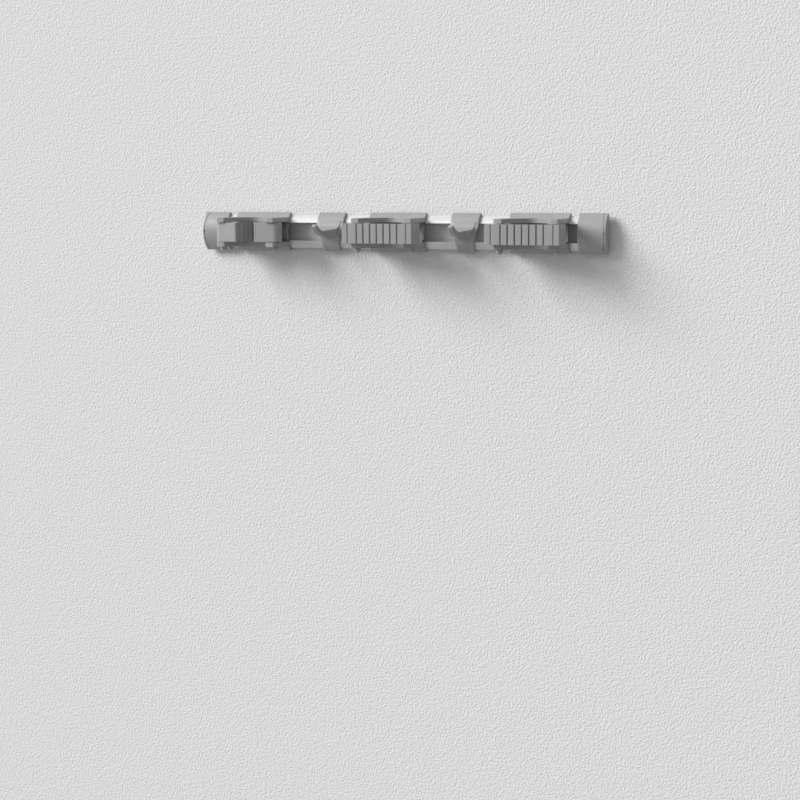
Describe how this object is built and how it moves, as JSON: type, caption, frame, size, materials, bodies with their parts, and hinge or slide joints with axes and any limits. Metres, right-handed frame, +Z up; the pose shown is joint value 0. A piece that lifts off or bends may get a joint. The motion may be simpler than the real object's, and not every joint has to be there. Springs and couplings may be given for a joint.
{
  "type": "wall mop holder rack",
  "caption": "Wall rail with sliding clip-on handle holders, whose hinged jaws and ribbed band close on a pole, sliding hooks and end caps.",
  "frame": {"origin": "middle of the rail's back face, at the middle wall hole", "axes": "+X along the rail to the right, +Z up, +Y into the wall; the wall is the plane y = 0"},
  "size_m": [0.506, 0.0705, 0.0454],
  "materials": {
    "rail_aluminium": "satin anodised, drawn along its length",
    "grey_plastic": "fine-grained moulded",
    "band_rubber": "matt moulded, soft"
  },
  "bodies": {
    "rack": {"rail": "rail_aluminium", "end_cap_left": "grey_plastic", "end_cap_right": "grey_plastic"},
    "left_hook": {"hook_left": "grey_plastic"},
    "right_hook": {"hook_right": "grey_plastic"},
    "left_holder": {"left_holder_housing": "grey_plastic", "left_holder_left_pin": "grey_plastic", "left_holder_right_pin": "grey_plastic"},
    "left_holder_left_arm": {"left_holder_left_jaw": "grey_plastic", "left_holder_left_grip": "band_rubber"},
    "left_holder_right_arm": {"left_holder_right_jaw": "grey_plastic", "left_holder_right_grip": "band_rubber"},
    "left_holder_band_middle": {"left_holder_middle_web": "band_rubber"},
    "left_holder_band_left": {"left_holder_left_web": "band_rubber"},
    "left_holder_band_right": {"left_holder_right_web": "band_rubber"},
    "middle_holder": {"middle_holder_housing": "grey_plastic", "middle_holder_left_pin": "grey_plastic", "middle_holder_right_pin": "grey_plastic"},
    "middle_holder_left_arm": {"middle_holder_left_jaw": "grey_plastic", "middle_holder_left_grip": "band_rubber"},
    "middle_holder_right_arm": {"middle_holder_right_jaw": "grey_plastic", "middle_holder_right_grip": "band_rubber"},
    "middle_holder_band_middle": {"middle_holder_middle_web": "band_rubber"},
    "middle_holder_band_left": {"middle_holder_left_web": "band_rubber"},
    "middle_holder_band_right": {"middle_holder_right_web": "band_rubber"},
    "right_holder": {"right_holder_housing": "grey_plastic", "right_holder_left_pin": "grey_plastic", "right_holder_right_pin": "grey_plastic"},
    "right_holder_left_arm": {"right_holder_left_jaw": "grey_plastic", "right_holder_left_grip": "band_rubber"},
    "right_holder_right_arm": {"right_holder_right_jaw": "grey_plastic", "right_holder_right_grip": "band_rubber"},
    "right_holder_band_middle": {"right_holder_middle_web": "band_rubber"},
    "right_holder_band_left": {"right_holder_left_web": "band_rubber"},
    "right_holder_band_right": {"right_holder_right_web": "band_rubber"}
  },
  "joints": [
    {"name": "left_hook_slide", "type": "slide", "parent": "rack", "child": "left_hook", "axis": [1, 0, 0], "range_m": [-0.0185, 0.015]},
    {"name": "right_hook_slide", "type": "slide", "parent": "rack", "child": "right_hook", "axis": [1, 0, 0], "range_m": [-0.0155, 0.0175]},
    {"name": "left_holder_slide", "type": "slide", "parent": "rack", "child": "left_holder", "axis": [1, 0, 0], "range_m": [-0.0088, 0.0185]},
    {"name": "left_holder_right_jaw_turn", "type": "hinge", "parent": "left_holder", "child": "left_holder_right_arm", "pos_m": [-0.1397, -0.0473, 0], "axis": [0, 0, -1], "range_deg": [-86.98, 0]},
    {"name": "left_holder_left_jaw_turn", "type": "hinge", "parent": "left_holder", "child": "left_holder_left_arm", "pos_m": [-0.2083, -0.0473, 0], "axis": [0, 0, 1], "range_deg": [-86.98, 0]},
    {"name": "left_holder_band_travel", "type": "slide", "parent": "left_holder", "child": "left_holder_band_middle", "axis": [0, 1, 0], "range_m": [-0.04478, 0]},
    {"name": "left_holder_band_right_bend", "type": "hinge", "parent": "left_holder_band_middle", "child": "left_holder_band_right", "pos_m": [-0.16567, -0.02352, 0], "axis": [0, 0, -1], "range_deg": [-60.76, 0], "deforming": ["left_holder_right_web"]},
    {"name": "left_holder_band_left_bend", "type": "hinge", "parent": "left_holder_band_middle", "child": "left_holder_band_left", "pos_m": [-0.18233, -0.02352, 0], "axis": [0, 0, 1], "range_deg": [-60.76, 0], "deforming": ["left_holder_left_web"]},
    {"name": "middle_holder_slide", "type": "slide", "parent": "rack", "child": "middle_holder", "axis": [1, 0, 0], "range_m": [-0.015, 0.0155]},
    {"name": "middle_holder_right_jaw_turn", "type": "hinge", "parent": "middle_holder", "child": "middle_holder_right_arm", "pos_m": [0.0353, -0.0473, 0], "axis": [0, 0, -1], "range_deg": [0, 86.98]},
    {"name": "middle_holder_left_jaw_turn", "type": "hinge", "parent": "middle_holder", "child": "middle_holder_left_arm", "pos_m": [-0.0333, -0.0473, 0], "axis": [0, 0, 1], "range_deg": [0, 86.98]},
    {"name": "middle_holder_band_travel", "type": "slide", "parent": "middle_holder", "child": "middle_holder_band_middle", "axis": [0, 1, 0], "range_m": [0, 0.04478]},
    {"name": "middle_holder_band_right_bend", "type": "hinge", "parent": "middle_holder_band_middle", "child": "middle_holder_band_right", "pos_m": [0.00933, -0.0683, 0], "axis": [0, 0, -1], "range_deg": [0, 60.76], "deforming": ["middle_holder_right_web"]},
    {"name": "middle_holder_band_left_bend", "type": "hinge", "parent": "middle_holder_band_middle", "child": "middle_holder_band_left", "pos_m": [-0.00733, -0.0683, 0], "axis": [0, 0, 1], "range_deg": [0, 60.76], "deforming": ["middle_holder_left_web"]},
    {"name": "right_holder_slide", "type": "slide", "parent": "rack", "child": "right_holder", "axis": [1, 0, 0], "range_m": [-0.0175, 0.0084]},
    {"name": "right_holder_right_jaw_turn", "type": "hinge", "parent": "right_holder", "child": "right_holder_right_arm", "pos_m": [0.2088, -0.0473, 0], "axis": [0, 0, -1], "range_deg": [0, 86.98]},
    {"name": "right_holder_left_jaw_turn", "type": "hinge", "parent": "right_holder", "child": "right_holder_left_arm", "pos_m": [0.1402, -0.0473, 0], "axis": [0, 0, 1], "range_deg": [0, 86.98]},
    {"name": "right_holder_band_travel", "type": "slide", "parent": "right_holder", "child": "right_holder_band_middle", "axis": [0, 1, 0], "range_m": [0, 0.04478]},
    {"name": "right_holder_band_right_bend", "type": "hinge", "parent": "right_holder_band_middle", "child": "right_holder_band_right", "pos_m": [0.18283, -0.0683, 0], "axis": [0, 0, -1], "range_deg": [0, 60.76], "deforming": ["right_holder_right_web"]},
    {"name": "right_holder_band_left_bend", "type": "hinge", "parent": "right_holder_band_middle", "child": "right_holder_band_left", "pos_m": [0.16617, -0.0683, 0], "axis": [0, 0, 1], "range_deg": [0, 60.76], "deforming": ["right_holder_left_web"]}
  ],
  "couplings": [
    {"joint": "left_holder_left_jaw_turn", "follows": "left_holder_right_jaw_turn", "ratio": 1},
    {"joint": "left_holder_band_travel", "follows": "left_holder_right_jaw_turn", "m_per_rad": 0.029496},
    {"joint": "left_holder_band_right_bend", "follows": "left_holder_right_jaw_turn", "ratio": 0.69845},
    {"joint": "left_holder_band_left_bend", "follows": "left_holder_right_jaw_turn", "ratio": 0.69845},
    {"joint": "middle_holder_left_jaw_turn", "follows": "middle_holder_right_jaw_turn", "ratio": 1},
    {"joint": "middle_holder_band_travel", "follows": "middle_holder_right_jaw_turn", "m_per_rad": 0.029496},
    {"joint": "middle_holder_band_right_bend", "follows": "middle_holder_right_jaw_turn", "ratio": 0.69845},
    {"joint": "middle_holder_band_left_bend", "follows": "middle_holder_right_jaw_turn", "ratio": 0.69845},
    {"joint": "right_holder_left_jaw_turn", "follows": "right_holder_right_jaw_turn", "ratio": 1},
    {"joint": "right_holder_band_travel", "follows": "right_holder_right_jaw_turn", "m_per_rad": 0.029496},
    {"joint": "right_holder_band_right_bend", "follows": "right_holder_right_jaw_turn", "ratio": 0.69845},
    {"joint": "right_holder_band_left_bend", "follows": "right_holder_right_jaw_turn", "ratio": 0.69845}
  ]
}
